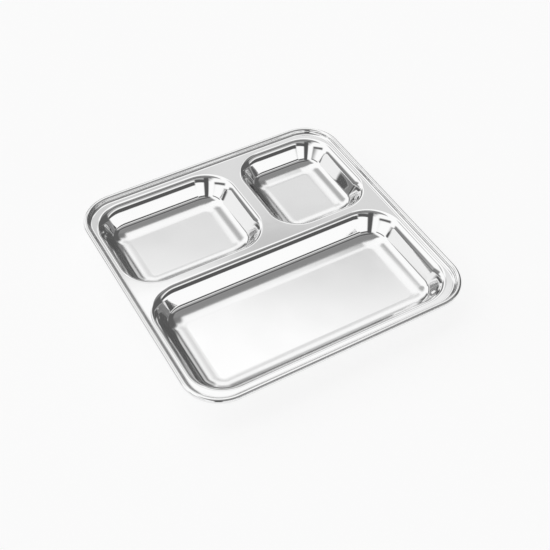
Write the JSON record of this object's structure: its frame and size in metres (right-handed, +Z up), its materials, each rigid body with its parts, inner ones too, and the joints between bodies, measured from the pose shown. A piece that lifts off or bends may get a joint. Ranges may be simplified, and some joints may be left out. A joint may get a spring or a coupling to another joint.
{
  "type": "divided compartment plate",
  "caption": "Square pressed stainless steel dining plate with a wide front compartment, two smaller rear ones, a raised rim and a rolled edge.",
  "frame": {"origin": "centre of the plate's outline, on the plane that the compartment floors rest on", "axes": "+Z up, +X to the right along the wide front compartment, +Y from the wide compartment to the two smaller rear ones"},
  "size_m": [0.24, 0.24, 0.0251],
  "materials": {
    "polished_steel": "mirror polished stainless steel",
    "satin_steel": "satin stainless steel"
  },
  "bodies": {
    "root": {"deck_web": "polished_steel", "large_wall": "polished_steel", "large_floor": "satin_steel", "left_wall": "polished_steel", "left_floor": "satin_steel", "right_wall": "polished_steel", "right_floor": "satin_steel", "rim_step": "polished_steel", "rim_curl": "polished_steel"}
  },
  "joints": []
}
